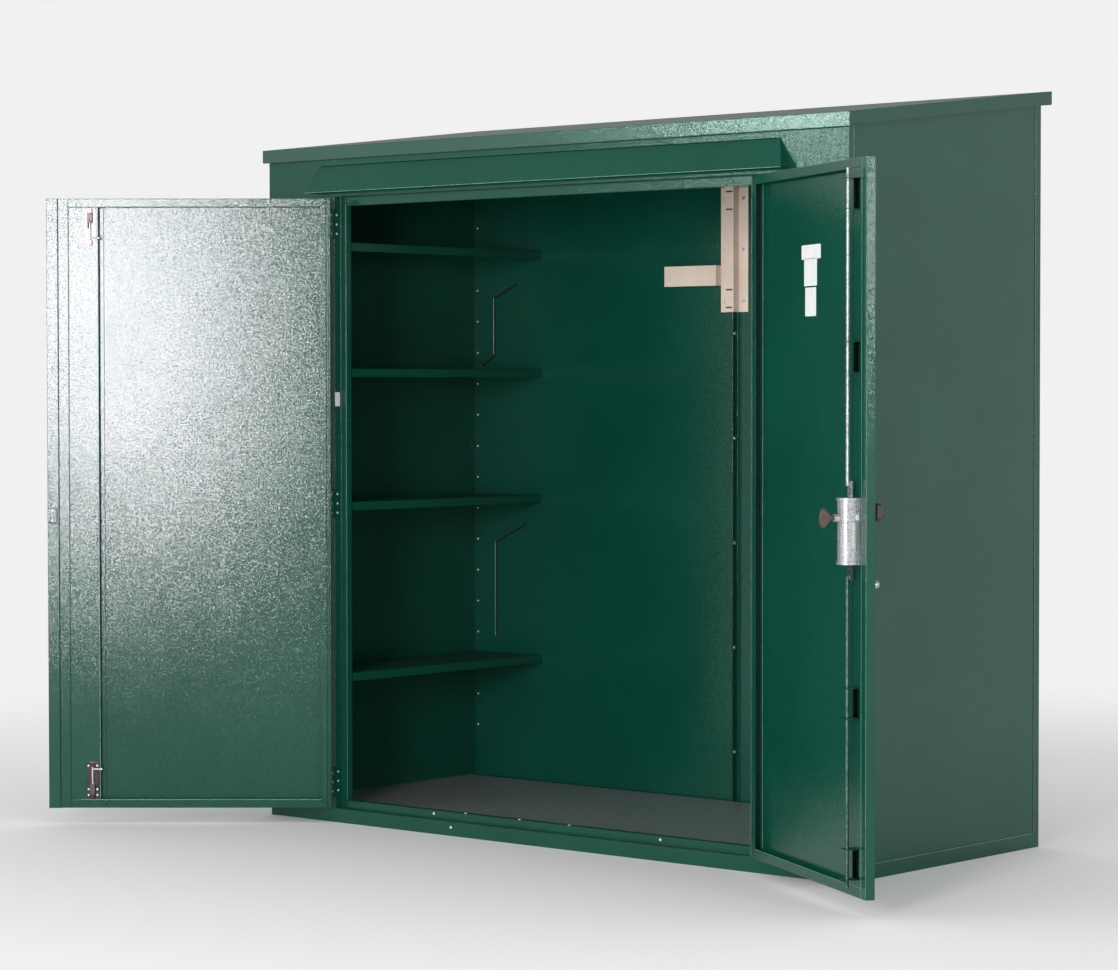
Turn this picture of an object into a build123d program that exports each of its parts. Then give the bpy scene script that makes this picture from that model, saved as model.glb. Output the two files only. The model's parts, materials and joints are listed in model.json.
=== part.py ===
from build123d import *
import math
import os

# Overall size, mm. The shed faces -Y, and its footprint is centred on the origin at ground level.
width = 2240
depth = 955
sheet = 1.5
seat_gap = 0.2

# Roof: one tray that rises to the back
header_height = 155
roof_pitch = 6.8
fascia_depth = 40
verge_depth = 37
fascia_lip = 10
eaves_overhang = 15
rear_overhang = 35
verge_overhang = 15

# Base
base_height = 42
base_flange = 60
base_foot = 30
bearer_width = 60
bearer_ear = 25
bearer_spacing = 560

# Walls
front_corner_lap = 25
rear_corner_lap = 28
seam_flange = 25

# Doorway: a rebate all round, with a stop behind the doors
side_panel_width = 285
doorway_top = 1940
rebate_depth = 28
side_stop = 22
head_stop = 28
sill_stop = 25
stop_return = 24

# Rain hood over the doors
hood_top_width = 1780
hood_flare = 32
hood_gap = 13
hood_height = 84
hood_projection = 42

# Shelves, front to back against the left wall
shelf_width = 300
shelf_lip = 26
shelf_heights = {"top_shelf": 1800, "upper_shelf": 1409, "lower_shelf": 994, "bottom_shelf": 462}

# Doors, each drawn closed with its hinge line at u = 0 and its outer face at v = 0
door_thickness = 25
door_proud = 9
door_gap = 3
door_bottom_gap = 8
door_top_gap = 7
left_door_open = 139.5
right_door_open = 148.5
meeting_shift = 14
top_lip = 26
bottom_lip = 26
edge_lip = 32
channel_width = 92
channel_foot = 15
cover_lap = 35
cover_step = 5
slot_plate_width = 29
slot_plate_height = 45
slot_plate_thickness = 3
slot_plate_z = 956
slot_plate_hole = 4

# Hinges
hinge_height = 90
hinge_inset = 78
hinge_leaf = 1.5
leaf_depth = 24
hinge_axis_out = 4
knuckle_radius = 3.8
pin_radius = 2
pin_clearance = 0.3

# Tower bolts on the left door
bolt_plate_height = 112
bolt_plate_width = 36
bolt_plate_thickness = 2
bolt_radius = 3.5
bolt_standoff = 4.5
bolt_guide_height = 14
bolt_guide_wall = 3
bolt_inset = 100
bolt_end_gap = 4
bolt_knob_reach = 30
bolt_knob_length = 9
bolt_knob_radius = 4
bolt_stem_radius = 2.5

# Lock on the right door
lock_inset = 65
lock_centre_z = 985
lock_case_height = 170
lock_case_width = 52
lock_case_depth = 48
handle_offset_z = 34
rod_radius = 5
rod_standoff = 24
rod_clearance = 1
rod_head_gap = 5
connector_width = 22
connector_thickness = 5
connector_length = 42
connector_step = 7
connector_lap = 12
case_round = 20
case_rim = 2.5
case_rim_height = 8
boss_radius = 11
boss_length = 15
boss_taper = 1.5
guide_slot_height = 76
guide_slot_width = 44
guide_tab_length = 36
guide_heights = [1842, 1428, 547, 135]
spindle_radius = 6
inside_reach = 98
grip_reach = 18
grip_length = 52
grip_depth = 22
grip_width = 12
grip_round = 3
outside_reach = 50
lever_start = 26
lever_end = 44
lever_rise = 26
lever_radius = 10
lever_round = 5
escutcheon_drop = 137
escutcheon_radius = 13
escutcheon_depth = 22

# Cream hanging bracket on the back wall: an upright over the seam and a rail beside it
bracket_height = 392
bracket_width = 108
bracket_ridge = 35
bracket_depth = 30
bracket_top = 1979
bracket_shift = -8
bracket_sheet = 2
bracket_slot_width = 26
bracket_slot_height = 5
bracket_slot_ends = [14, 70]
bracket_hole_drop = 176
bracket_hole_radius = 3
arm_height = 64
arm_length = 209
arm_depth = 28
arm_top = 1735

left_x = -width / 2
right_x = width / 2
front_y = -depth / 2
back_y = depth / 2
doorway_left = left_x + side_panel_width
doorway_right = right_x - side_panel_width
front_edge_height = doorway_top + header_height
hood_bottom = doorway_top + hood_gap
hood_top = hood_bottom + hood_height
door_bottom = base_height + door_bottom_gap
door_top = doorway_top - door_top_gap
stop_front = front_y + rebate_depth
stop_back = stop_front + stop_return
door_face_y = front_y - door_proud
left_reach = width / 2 - side_panel_width - 2 * door_gap + meeting_shift
right_reach = left_reach - 2 * meeting_shift
bolt_centre_u = left_reach - bolt_inset
lock_centre_u = right_reach - lock_inset
slope = math.tan(math.radians(roof_pitch))
roof_front_y = front_y - eaves_overhang
roof_rear_y = back_y + rear_overhang

os.makedirs("parts", exist_ok=True)


def block(x0, x1, y0, y1, z0, z1):
    corner = Pos(x0, y0, z0)
    return corner * Box(x1 - x0, y1 - y0, z1 - z0, align=(Align.MIN, Align.MIN, Align.MIN))


def folded(points, side, thickness=sheet):
    path = Polyline(*points)
    edge = offset(path, amount=thickness, kind=Kind.INTERSECTION, side=side, closed=True)
    return make_face(edge.wires()[0])


def upright_section(points, side, bottom, top, thickness=sheet):
    """A folded sheet drawn in plan and extruded upwards."""
    return Pos(0, 0, bottom) * extrude(folded(points, side, thickness), top - bottom)


def cross_section(points, side, x0, x1, thickness=sheet):
    """A folded sheet drawn in the Y-Z plane and extruded along X."""
    face = Plane.YZ.offset(x0) * folded(points, side, thickness)
    return extrude(face, x1 - x0, dir=(1, 0, 0))


def prism_along_x(points, x0, x1):
    face = Plane.YZ.offset(x0) * make_face(Polyline(*points, close=True))
    return extrude(face, x1 - x0, dir=(1, 0, 0))


def mirrored(shape):
    return mirror(shape, about=Plane.YZ)


def roof_top(y):
    return front_edge_height + (y - roof_front_y) * slope


def under_roof():
    """Everything below the roof sheet, for trimming the wall tops."""
    drop = sheet / math.cos(math.radians(roof_pitch)) + seat_gap
    points = [
        (roof_front_y, 0),
        (roof_rear_y, 0),
        (roof_rear_y, roof_top(roof_rear_y) - drop),
        (roof_front_y, roof_top(roof_front_y) - drop),
    ]
    return prism_along_x(points, left_x, right_x)


def trimmed(wall):
    return wall & under_roof()


def wall_height():
    return roof_top(roof_rear_y)


def base_rails():
    front_points = [
        (front_y + base_flange, base_height),
        (front_y, base_height),
        (front_y, 0),
        (front_y + base_foot, 0),
    ]
    front = cross_section(front_points, Side.LEFT, left_x, right_x)
    front += block(left_x, left_x + sheet, front_y, front_y + base_flange, 0, base_height)
    front += block(right_x - sheet, right_x, front_y, front_y + base_flange, 0, base_height)
    rear = mirror(front, about=Plane.XZ)
    side_points = [
        (left_x + base_flange, base_height),
        (left_x, base_height),
        (left_x, 0),
        (left_x + base_foot, 0),
    ]
    side_face = Plane.XZ.offset(-(front_y + base_flange)) * folded(side_points, Side.LEFT)
    left = extrude(side_face, depth - 2 * base_flange, dir=(0, 1, 0))
    return {
        "base_front_rail": front,
        "base_rear_rail": rear,
        "base_left_rail": left,
        "base_right_rail": mirrored(left),
    }


def floor_bearers():
    half = bearer_width / 2
    ear_z = base_height - sheet
    points = [
        (-half - bearer_ear, ear_z),
        (-half, ear_z),
        (-half, 0),
        (half, 0),
        (half, ear_z),
        (half + bearer_ear, ear_z),
    ]
    face = Plane.XZ.offset(-(front_y + base_flange)) * folded(points, Side.LEFT)
    bearer = extrude(face, depth - 2 * base_flange, dir=(0, 1, 0))
    return Compound(children=[Pos(shift, 0, 0) * bearer for shift in (-bearer_spacing, 0, bearer_spacing)])


def floor_panel():
    inset = 2 * sheet + seat_gap
    return block(
        left_x + inset,
        right_x - inset,
        stop_back + seat_gap,
        back_y - seam_flange - seat_gap,
        base_height,
        base_height + sheet,
    )


def front_left_panel():
    points = [
        (left_x, front_y + front_corner_lap),
        (left_x, front_y),
        (doorway_left, front_y),
    ]
    return trimmed(upright_section(points, Side.LEFT, base_height, wall_height()))


def left_jamb():
    points = [
        (doorway_left, front_y + sheet),
        (doorway_left, stop_front),
        (doorway_left + side_stop, stop_front),
        (doorway_left + side_stop, stop_back),
    ]
    return upright_section(points, Side.LEFT, base_height, doorway_top + sheet)


def front_header_panel():
    header = block(doorway_left, doorway_right, front_y, front_y + sheet, doorway_top, wall_height())
    return trimmed(header)


def lintel():
    points = [
        (front_y + sheet, doorway_top),
        (stop_front, doorway_top),
        (stop_front, doorway_top - head_stop),
        (stop_back, doorway_top - head_stop),
    ]
    inner_left = doorway_left + side_stop
    beam = cross_section(points, Side.LEFT, inner_left, -inner_left)
    ceiling_top = doorway_top + sheet
    ear = block(doorway_left, inner_left, front_y + sheet, stop_front, doorway_top, ceiling_top)
    beam = beam + ear + mirrored(ear)
    beam -= bolt_keep(doorway_top - sheet, doorway_top + 2 * sheet)
    return beam - rod_keep(doorway_top - head_stop - sheet, doorway_top - head_stop + 2 * sheet)


def door_sill():
    ledge_top = base_height + sheet
    stop_top = base_height + sill_stop
    points = [
        (front_y, ledge_top),
        (stop_front, ledge_top),
        (stop_front, stop_top),
        (stop_back, stop_top),
    ]
    inner_left = doorway_left + side_stop
    beam = cross_section(points, Side.RIGHT, inner_left, -inner_left)
    ear = block(doorway_left, inner_left, front_y, stop_front, base_height, ledge_top)
    beam = beam + ear + mirrored(ear)
    beam -= bolt_keep(base_height - sheet, base_height + 2 * sheet)
    return beam - rod_keep(stop_top - 2 * sheet, stop_top + sheet)


def left_wall():
    inner_x = left_x + sheet
    wall = block(inner_x, inner_x + sheet, front_y + sheet, back_y - sheet, base_height, wall_height())
    return trimmed(wall)


def back_left_panel():
    points = [
        (left_x, back_y - rear_corner_lap),
        (left_x, back_y),
        (0, back_y),
        (0, back_y - seam_flange),
    ]
    return trimmed(upright_section(points, Side.RIGHT, base_height, wall_height()))


def roof_sheet():
    end = verge_overhang - sheet
    front_drop = roof_top(roof_front_y) - fascia_depth
    rear_drop = roof_top(roof_rear_y) - fascia_depth
    points = [
        (roof_front_y + fascia_lip, front_drop),
        (roof_front_y, front_drop),
        (roof_front_y, roof_top(roof_front_y)),
        (roof_rear_y, roof_top(roof_rear_y)),
        (roof_rear_y, rear_drop),
        (roof_rear_y - fascia_lip, rear_drop),
    ]
    return cross_section(points, Side.RIGHT, left_x - end, right_x + end)


def roof_band(y0, y1, upper, lower, x0, x1):
    """A strip that follows the roof between two depths below its top."""
    points = [
        (y0, roof_top(y0) - lower),
        (y1, roof_top(y1) - lower),
        (y1, roof_top(y1) - upper),
        (y0, roof_top(y0) - upper),
    ]
    return prism_along_x(points, x0, x1)


def right_verge():
    outer_x = right_x + verge_overhang
    plate = roof_band(roof_front_y, roof_rear_y, 0, verge_depth, outer_x - sheet, outer_x)
    lip_start = roof_front_y + fascia_lip + seat_gap
    lip_end = roof_rear_y - fascia_lip - seat_gap
    lip = roof_band(lip_start, lip_end, verge_depth - sheet, verge_depth, outer_x - fascia_lip, outer_x)
    return plate + lip


def wedge(top_half, bottom_half, top, bottom, projection):
    """A hood that grows outwards and sideways from its top edge to its bottom edge."""
    corners = [(-top_half, top), (top_half, top), (bottom_half, bottom), (-bottom_half, bottom)]
    outline = Polyline(*corners, close=True)
    face = Plane.XZ.offset(-front_y) * make_face(outline)
    body = extrude(face, projection, dir=(0, -1, 0))
    slant = prism_along_x(
        [(front_y, top), (front_y - projection, bottom), (front_y, bottom)], -bottom_half, bottom_half
    )
    return body & slant


def rain_hood():
    top_half = hood_top_width / 2
    bottom_half = top_half + hood_flare
    outer = wedge(top_half, bottom_half, hood_top, hood_bottom, hood_projection)
    rise = sheet * (hood_top - hood_bottom) / hood_projection
    inner = wedge(
        top_half - sheet, bottom_half - sheet, hood_top - rise, hood_bottom - sheet, hood_projection - sheet
    )
    return outer - inner


def shelf(height):
    wall_x = left_x + 2 * sheet
    rear_y = back_y - sheet
    edge_x = wall_x + shelf_width
    tray = block(wall_x, edge_x, stop_back, rear_y, height - shelf_lip, height)
    hollow = block(
        wall_x + sheet, edge_x - sheet, stop_back + sheet, rear_y - sheet, height - shelf_lip, height - sheet
    )
    return tray - hollow


def bracket_upright():
    """A hat section with its flanges on the wall and its slotted ridge over the seam."""
    wall_face = back_y - sheet
    flange_edge = bracket_width / 2
    ridge_inner = bracket_ridge / 2 - bracket_sheet
    ridge_face = wall_face - bracket_depth
    bottom = bracket_top - bracket_height
    points = [
        (bracket_shift - flange_edge, wall_face),
        (bracket_shift - ridge_inner, wall_face),
        (bracket_shift - ridge_inner, ridge_face + bracket_sheet),
        (bracket_shift + ridge_inner, ridge_face + bracket_sheet),
        (bracket_shift + ridge_inner, wall_face),
        (bracket_shift + flange_edge, wall_face),
    ]
    upright = upright_section(points, Side.RIGHT, bottom, bracket_top, bracket_sheet)
    for end in bracket_slot_ends:
        for centre in (bottom + end, bracket_top - end):
            upright -= Pos(bracket_shift, ridge_face, centre) * Box(
                bracket_slot_width, 3 * bracket_sheet, bracket_slot_height
            )
    hole = Pos(bracket_shift + ridge_inner, wall_face - bracket_depth / 2, bracket_top - bracket_hole_drop)
    return upright - hole * Rot(Y=90) * Cylinder(bracket_hole_radius, 3 * bracket_sheet)


def bracket_arm():
    """A rail along the wall, open at its back, that ends against the upright's edge."""
    right = bracket_shift - bracket_width / 2 - seat_gap
    left = right - arm_length
    wall_face = back_y - sheet
    front = wall_face - arm_depth
    bottom = arm_top - arm_height
    rail = block(left, right, front, wall_face, bottom, arm_top)
    hollow = block(
        left + bracket_sheet,
        right - bracket_sheet,
        front + bracket_sheet,
        wall_face,
        bottom + bracket_sheet,
        arm_top - bracket_sheet,
    )
    return rail - hollow


def hinge_centres():
    middle = (door_bottom + door_top) / 2
    return [door_bottom + hinge_inset, middle, door_top - hinge_inset]


def knuckle(centre, low, high, radius):
    return Pos(0, -hinge_axis_out, centre + low) * Cylinder(
        radius, high - low, align=(Align.CENTER, Align.CENTER, Align.MIN)
    )


def frame_leaf(centre):
    """The fixed half of a hinge, with its pin, on the jamb's face."""
    half = hinge_height / 2
    third = hinge_height / 6
    leaf = block(
        -door_gap, -door_gap + hinge_leaf, -hinge_axis_out, leaf_depth, centre - half, centre + half
    )
    window = Pos(0, -hinge_axis_out, centre) * Cylinder(
        knuckle_radius + pin_clearance, 2 * (third + pin_clearance)
    )
    ends = knuckle(centre, -half, -third - pin_clearance, knuckle_radius)
    ends += knuckle(centre, third + pin_clearance, half, knuckle_radius)
    return leaf - window + ends + knuckle(centre, -half, half, pin_radius)


def door_leaf(centre):
    """The moving half of a hinge, on the door's edge."""
    third = hinge_height / 6
    half = hinge_height / 2
    leaf_end = leaf_depth - hinge_axis_out
    leaf = block(door_gap - hinge_leaf, door_gap, -hinge_axis_out, leaf_end, centre - half, centre + half)
    clear = knuckle_radius + pin_clearance
    lower = knuckle(centre, -half, -third, clear)
    upper = knuckle(centre, third, half, clear)
    middle = knuckle(centre, -third, third, knuckle_radius)
    bore = knuckle(centre, -half, half, pin_radius + pin_clearance)
    return leaf + middle - lower - upper - bore


def hinge_leaves(maker):
    return Compound(children=[maker(centre) for centre in hinge_centres()])


def door_panel(reach):
    """A folded tray, open on its inner side, with a lip round the opening."""
    tray = block(door_gap, reach, 0, door_thickness, door_bottom, door_top)
    hollow = block(
        door_gap + sheet,
        reach - sheet,
        sheet,
        door_thickness - sheet,
        door_bottom + sheet,
        door_top - sheet,
    )
    window = block(
        door_gap + edge_lip,
        reach - edge_lip,
        sheet,
        door_thickness,
        door_bottom + bottom_lip,
        door_top - top_lip,
    )
    return tray - hollow - window


def edge_channel(reach):
    """The folded channel that stiffens a door along its free edge."""
    outer_u = reach - edge_lip - seat_gap
    inner_u = reach - edge_lip - channel_width
    points = [
        (inner_u - channel_foot, 2 * sheet),
        (inner_u, 2 * sheet),
        (inner_u, door_thickness),
        (outer_u, door_thickness),
        (outer_u, sheet),
    ]
    low = door_bottom + bottom_lip + seat_gap
    high = door_top - top_lip - seat_gap
    return upright_section(points, Side.RIGHT, low, high)


def cover_strip():
    """The joggled strip on the left door that the right door closes against, with its slot plate."""
    strip_edge = left_reach + cover_lap
    strip_face = door_thickness + cover_step + sheet
    points = [
        (left_reach - edge_lip, door_thickness + sheet),
        (left_reach, door_thickness + sheet),
        (left_reach, strip_face),
        (strip_edge, strip_face),
    ]
    strip = upright_section(points, Side.RIGHT, door_bottom, door_top)
    strip += block(
        strip_edge - slot_plate_width,
        strip_edge,
        strip_face,
        strip_face + slot_plate_thickness,
        slot_plate_z - slot_plate_height / 2,
        slot_plate_z + slot_plate_height / 2,
    )
    hole_u = strip_edge - slot_plate_width / 2
    return strip - stub(hole_u, door_thickness, slot_plate_z, 3 * cover_step, slot_plate_hole)


def post(u, v, low, high, radius):
    return Pos(u, v, low) * Cylinder(radius, high - low, align=(Align.CENTER, Align.CENTER, Align.MIN))


def stub(u, v, z, length, radius):
    """A round bar that points along the door's thickness, from v towards the inside."""
    bar = Cylinder(radius, length, align=(Align.CENTER, Align.CENTER, Align.MIN))
    return Pos(u, v, z) * Rot(X=-90) * bar


def bolt_v():
    return door_thickness + bolt_plate_thickness + bolt_standoff


def bolt_keep(low, high):
    """The hole that a tower bolt shoots into when the left door is closed."""
    x = doorway_left + door_gap + bolt_centre_u
    return post(x, door_face_y + bolt_v(), low, high, bolt_radius + rod_clearance)


def rod_keep(low, high):
    """The hole that a lock rod shoots through when the right door is closed."""
    x = doorway_right - door_gap - lock_centre_u
    return post(x, door_face_y + rod_v(), low, high, rod_radius + rod_clearance)


def bolt_plate(low):
    """The back plate and the two guides of a tower bolt."""
    half = bolt_plate_width / 2
    guide_half = bolt_radius + bolt_guide_wall
    high = low + bolt_plate_height
    plate_face = door_thickness + bolt_plate_thickness
    body = block(bolt_centre_u - half, bolt_centre_u + half, door_thickness, plate_face, low, high)
    for start in (low, high - bolt_guide_height):
        body += block(
            bolt_centre_u - guide_half,
            bolt_centre_u + guide_half,
            plate_face,
            bolt_v() + guide_half,
            start,
            start + bolt_guide_height,
        )
    return body - post(bolt_centre_u, bolt_v(), low, high, bolt_radius + pin_clearance)


def bolt_rod(tip, direction):
    """A tower bolt's sliding rod, drawn back so that its tip is flush, with a knob to one side."""
    end = tip - direction * (bolt_plate_height - bolt_end_gap)
    knob_z = tip - direction * (bolt_plate_height - 1.5 * bolt_guide_height)
    rod = post(bolt_centre_u, bolt_v(), min(tip, end), max(tip, end), bolt_radius)
    base = (Align.CENTER, Align.CENTER, Align.MIN)
    stem = Cylinder(bolt_stem_radius, bolt_knob_reach, align=base)
    knob = Cylinder(bolt_knob_radius, bolt_knob_length, align=base)
    stem += Pos(0, 0, bolt_knob_reach - bolt_knob_length) * knob
    return rod + Pos(bolt_centre_u, bolt_v(), knob_z) * Rot(Y=-90) * stem


def rod_v():
    return door_thickness + rod_standoff


def handle_z():
    return lock_centre_z + handle_offset_z


def guide_slot(centre):
    half_u = guide_slot_width / 2
    half_z = guide_slot_height / 2
    return block(
        lock_centre_u - half_u,
        lock_centre_u + half_u,
        door_thickness - 2 * sheet,
        door_thickness + sheet,
        centre - half_z,
        centre + half_z,
    )


def guide_tabs(centre):
    """Two tabs bent out of the channel at the ends of a slot, each with a hole for the rod."""
    half_u = guide_slot_width / 2
    half_z = guide_slot_height / 2
    tabs = []
    for low in (centre - half_z - sheet, centre + half_z):
        tab = block(
            lock_centre_u - half_u,
            lock_centre_u + half_u,
            door_thickness,
            door_thickness + guide_tab_length,
            low,
            low + sheet,
        )
        hole = post(lock_centre_u, rod_v(), low - sheet, low + 2 * sheet, rod_radius + rod_clearance)
        tabs.append(tab - hole)
    return tabs


def spindle_hole(low_v, high_v):
    return stub(lock_centre_u, low_v, handle_z(), high_v - low_v, spindle_radius + rod_clearance)


def lock_channel():
    channel = edge_channel(right_reach) - spindle_hole(0, 2 * door_thickness)
    for centre in guide_heights:
        channel = channel - guide_slot(centre)
    return channel


def case_block(low, high, margin):
    """A box on the channel with its two inner upright edges rounded."""
    half = lock_case_width / 2 + margin
    front = door_thickness + lock_case_depth + margin
    body = block(lock_centre_u - half, lock_centre_u + half, door_thickness, front, low, high)
    return fillet(body.edges().filter_by(Axis.Z).group_by(Axis.Y)[-1], case_round + margin)


def lock_case():
    """The lock's cover, with a rim at each end and a tapered boss round the spindle."""
    low = lock_centre_z - lock_case_height / 2
    high = low + lock_case_height
    front = door_thickness + lock_case_depth
    body = case_block(low, high, 0)
    body += case_block(low, low + case_rim_height, case_rim)
    body += case_block(high - case_rim_height, high, case_rim)
    base = (Align.CENTER, Align.CENTER, Align.MIN)
    boss = Cone(boss_radius, boss_radius - boss_taper, boss_length, align=base)
    body += Pos(lock_centre_u, front, handle_z()) * Rot(X=-90) * boss
    slot_half_u = connector_width / 2 + rod_clearance
    slot_half_v = connector_thickness / 2 + rod_clearance
    body -= block(
        lock_centre_u - slot_half_u,
        lock_centre_u + slot_half_u,
        connector_v() - slot_half_v,
        connector_v() + slot_half_v,
        low,
        high,
    )
    return body - spindle_hole(0, 2 * front)


def connector_v():
    return rod_v() - connector_step


def wing_grip():
    """The flat fan-shaped grip on the spindle's inner end."""
    z = handle_z()
    neck = Pos(inside_reach, z) * Circle(spindle_radius)
    fan = Pos(inside_reach + grip_reach, z) * Ellipse(grip_depth / 2, grip_length / 2)
    outline = make_hull(neck.edges() + fan.edges())
    grip = extrude(Plane.YZ.offset(lock_centre_u - grip_width / 2) * outline, grip_width)
    ends = grip.faces().sort_by(Axis.X)
    return fillet(ends[0].edges() + ends[-1].edges(), grip_round)


def outside_lever():
    """The rounded lever on the spindle's outer end."""
    z = handle_z()
    hub = Pos(lock_centre_u, z) * Circle(lever_radius)
    crown = Pos(lock_centre_u, z + lever_rise) * Circle(lever_radius)
    outline = make_hull(hub.edges() + crown.edges())
    lever = extrude(Plane.XZ.offset(lever_start) * outline, lever_end - lever_start)
    ends = lever.faces().sort_by(Axis.Y)
    return fillet(ends[0].edges() + ends[-1].edges(), lever_round)


def lock_handle():
    """The spindle with its wing grip inside and its lever outside."""
    length = inside_reach + outside_reach
    body = stub(lock_centre_u, -outside_reach, handle_z(), length, spindle_radius)
    return body + wing_grip() + outside_lever()


def escutcheon():
    """The round keyed cylinder below the handle, on the door's outer face."""
    z = lock_centre_z - escutcheon_drop
    return stub(lock_centre_u, -escutcheon_depth, z, escutcheon_depth, escutcheon_radius)


def lock_rod(case_end, joggle, tip):
    """A flat connector inside the case, stepped out to a round rod that ends at its tip."""
    half_u = connector_width / 2
    half_v = connector_thickness / 2
    flat = block(
        lock_centre_u - half_u,
        lock_centre_u + half_u,
        connector_v() - half_v,
        connector_v() + half_v,
        min(case_end, joggle),
        max(case_end, joggle),
    )
    direction = 1 if tip > joggle else -1
    overlap = joggle - direction * connector_lap
    rod = post(lock_centre_u, rod_v(), min(overlap, tip), max(overlap, tip), rod_radius)
    return flat + rod


def export(name, shape):
    shape.label = name
    export_step(shape, os.path.join("parts", name + ".step"))


def on_left(shape):
    """Places a closed left door's piece and swings it open about its hinge line."""
    hinge = Pos(doorway_left + door_gap, door_face_y - hinge_axis_out, 0)
    return hinge * Rot(Z=-left_door_open) * Pos(0, hinge_axis_out, 0) * shape


def on_right(shape):
    hinge = Pos(doorway_right - door_gap, door_face_y - hinge_axis_out, 0)
    return hinge * Rot(Z=right_door_open) * Pos(0, hinge_axis_out, 0) * mirrored(shape)


def gathered(solids):
    return Compound(children=solids)


frame_hinges = Pos(doorway_left + door_gap, door_face_y, 0) * hinge_leaves(frame_leaf)
upper_tip = doorway_top - head_stop - rod_head_gap
lower_tip = base_height + sill_stop + rod_head_gap
case_top = lock_centre_z + lock_case_height / 2
case_bottom = lock_centre_z - lock_case_height / 2
spindle_room = spindle_radius + 2 * rod_clearance
bolt_low = door_bottom + bottom_lip + bolt_end_gap
bolt_high = door_top - top_lip - bolt_end_gap

parts = base_rails()
parts["base_front_rail"] -= bolt_keep(base_height - 2 * sheet, base_height + sheet)
parts["floor_bearers"] = floor_bearers()
parts["floor_panel"] = floor_panel()
parts["front_left_panel"] = front_left_panel()
parts["front_right_panel"] = mirrored(front_left_panel())
parts["front_header_panel"] = front_header_panel()
parts["left_jamb"] = left_jamb()
parts["right_jamb"] = mirrored(left_jamb())
parts["lintel"] = lintel()
parts["door_sill"] = door_sill()
parts["left_wall"] = left_wall()
parts["right_wall"] = mirrored(left_wall())
parts["back_left_panel"] = back_left_panel()
parts["back_right_panel"] = mirrored(back_left_panel())
parts["roof_sheet"] = roof_sheet()
parts["right_verge"] = right_verge()
parts["left_verge"] = mirrored(right_verge())
parts["rain_hood"] = rain_hood()
for name, height in shelf_heights.items():
    parts[name] = shelf(height)
parts["bracket_upright"] = bracket_upright()
parts["bracket_arm"] = bracket_arm()
parts["left_frame_hinges"] = frame_hinges
parts["right_frame_hinges"] = mirrored(frame_hinges)

parts["left_door_panel"] = on_left(door_panel(left_reach))
parts["left_door_channel"] = on_left(edge_channel(left_reach))
parts["left_door_cover_strip"] = on_left(cover_strip())
parts["left_door_hinges"] = on_left(hinge_leaves(door_leaf))
parts["top_bolt_plate"] = on_left(bolt_plate(bolt_high - bolt_plate_height))
parts["bottom_bolt_plate"] = on_left(bolt_plate(bolt_low))
parts["top_bolt"] = on_left(bolt_rod(bolt_high, 1))
parts["bottom_bolt"] = on_left(bolt_rod(bolt_low, -1))

parts["right_door_panel"] = on_right(door_panel(right_reach) - spindle_hole(-sheet, door_thickness))
parts["right_door_channel"] = on_right(lock_channel())
parts["right_door_hinges"] = on_right(hinge_leaves(door_leaf))
parts["rod_guides"] = on_right(gathered([tab for centre in guide_heights for tab in guide_tabs(centre)]))
parts["lock_case"] = on_right(lock_case())
parts["lock_handle"] = on_right(lock_handle())
parts["lock_escutcheon"] = on_right(escutcheon())
upper_rod = lock_rod(handle_z() + spindle_room, case_top + connector_length, upper_tip)
lower_rod = lock_rod(handle_z() - spindle_room, case_bottom - connector_length, lower_tip)
parts["upper_lock_rod"] = on_right(upper_rod)
parts["lower_lock_rod"] = on_right(lower_rod)

for name, shape in parts.items():
    export(name, shape)
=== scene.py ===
import json
import math

import bpy
from mathutils import Matrix, Vector


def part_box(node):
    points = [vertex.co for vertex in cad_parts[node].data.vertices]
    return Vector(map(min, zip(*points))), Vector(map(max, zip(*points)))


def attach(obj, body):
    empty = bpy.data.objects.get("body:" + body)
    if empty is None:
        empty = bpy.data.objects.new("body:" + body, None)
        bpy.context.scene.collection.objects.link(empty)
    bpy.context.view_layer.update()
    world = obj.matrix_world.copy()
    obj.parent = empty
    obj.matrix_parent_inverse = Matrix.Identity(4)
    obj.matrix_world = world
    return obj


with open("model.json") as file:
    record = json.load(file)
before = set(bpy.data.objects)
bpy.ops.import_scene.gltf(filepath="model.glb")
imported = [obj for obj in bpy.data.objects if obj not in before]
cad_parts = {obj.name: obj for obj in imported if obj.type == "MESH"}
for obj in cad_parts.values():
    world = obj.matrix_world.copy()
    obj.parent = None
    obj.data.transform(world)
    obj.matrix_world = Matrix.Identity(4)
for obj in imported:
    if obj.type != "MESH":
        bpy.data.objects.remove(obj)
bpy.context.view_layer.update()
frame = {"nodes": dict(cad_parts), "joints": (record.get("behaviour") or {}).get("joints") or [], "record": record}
nodes = frame["nodes"]
joints = {joint["name"]: joint for joint in frame["joints"]}

# The photograph's camera: focal length in pixels of a picture 1118 pixels wide, place in metres
PHOTO_WIDTH = 1118
FOCAL_PIXELS = 3278.9
CAMERA_PLACE = Vector((6.341, -7.704, 1.354))
CAMERA_TURN = math.radians(40.886)
CAMERA_DIP = math.radians(-1.725)
CAMERA_ROLL = math.radians(0.052)
CAMERA_REACH = 200

# Directions in the shed's space, and out of a door's inner face in the door's own space
FRONT = (0, -1, 0)
BACK = (0, 1, 0)
INWARD = (0, 1, 0)

# Sizes in metres. A screw or bolt head is given as its radius and its rise.
SHEET = 0.0015
PAPER = 0.0003
LINE_WIDTH = 0.0016
LINE_RISE = 0.0008

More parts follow.
